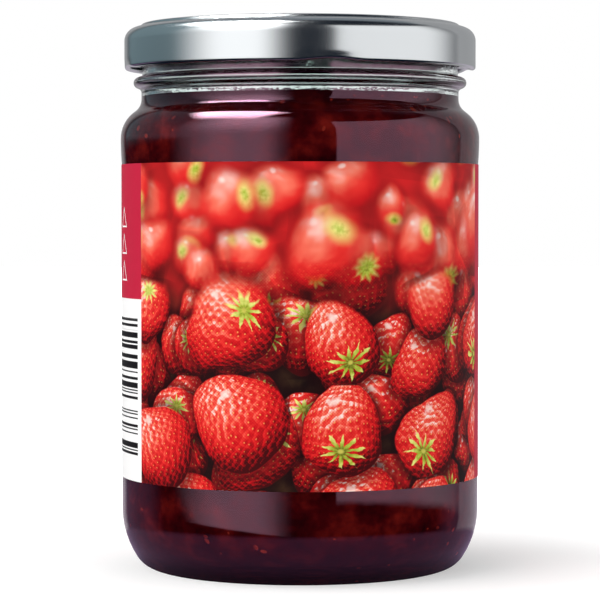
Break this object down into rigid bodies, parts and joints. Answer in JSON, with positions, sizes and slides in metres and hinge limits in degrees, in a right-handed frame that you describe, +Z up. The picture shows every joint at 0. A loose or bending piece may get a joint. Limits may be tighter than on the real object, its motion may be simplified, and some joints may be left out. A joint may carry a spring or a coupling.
{
  "type": "jam jar",
  "caption": "Round clear glass jar filled with dark red jam, with a neck bead, a twist-off steel lid and a printed paper wrap label.",
  "frame": {"origin": "middle of the foot, on the surface that the jar stands on", "axes": "+Z up along the jar's axis; the front of the label faces -Y, +X is to the right of someone looking at the front"},
  "size_m": [0.071, 0.071, 0.1075],
  "materials": {
    "clear_glass": "clear moulded glass, glossy",
    "jam": "dark red fruit jam, wet and glossy",
    "lid_steel": "lacquered tinplate, satin",
    "label_paper": "coated paper, printed in reds, pink and white"
  },
  "bodies": {
    "root": {"glass_jar": "clear_glass", "jam": "jam", "lid": "lid_steel", "label": "label_paper"}
  },
  "joints": []
}
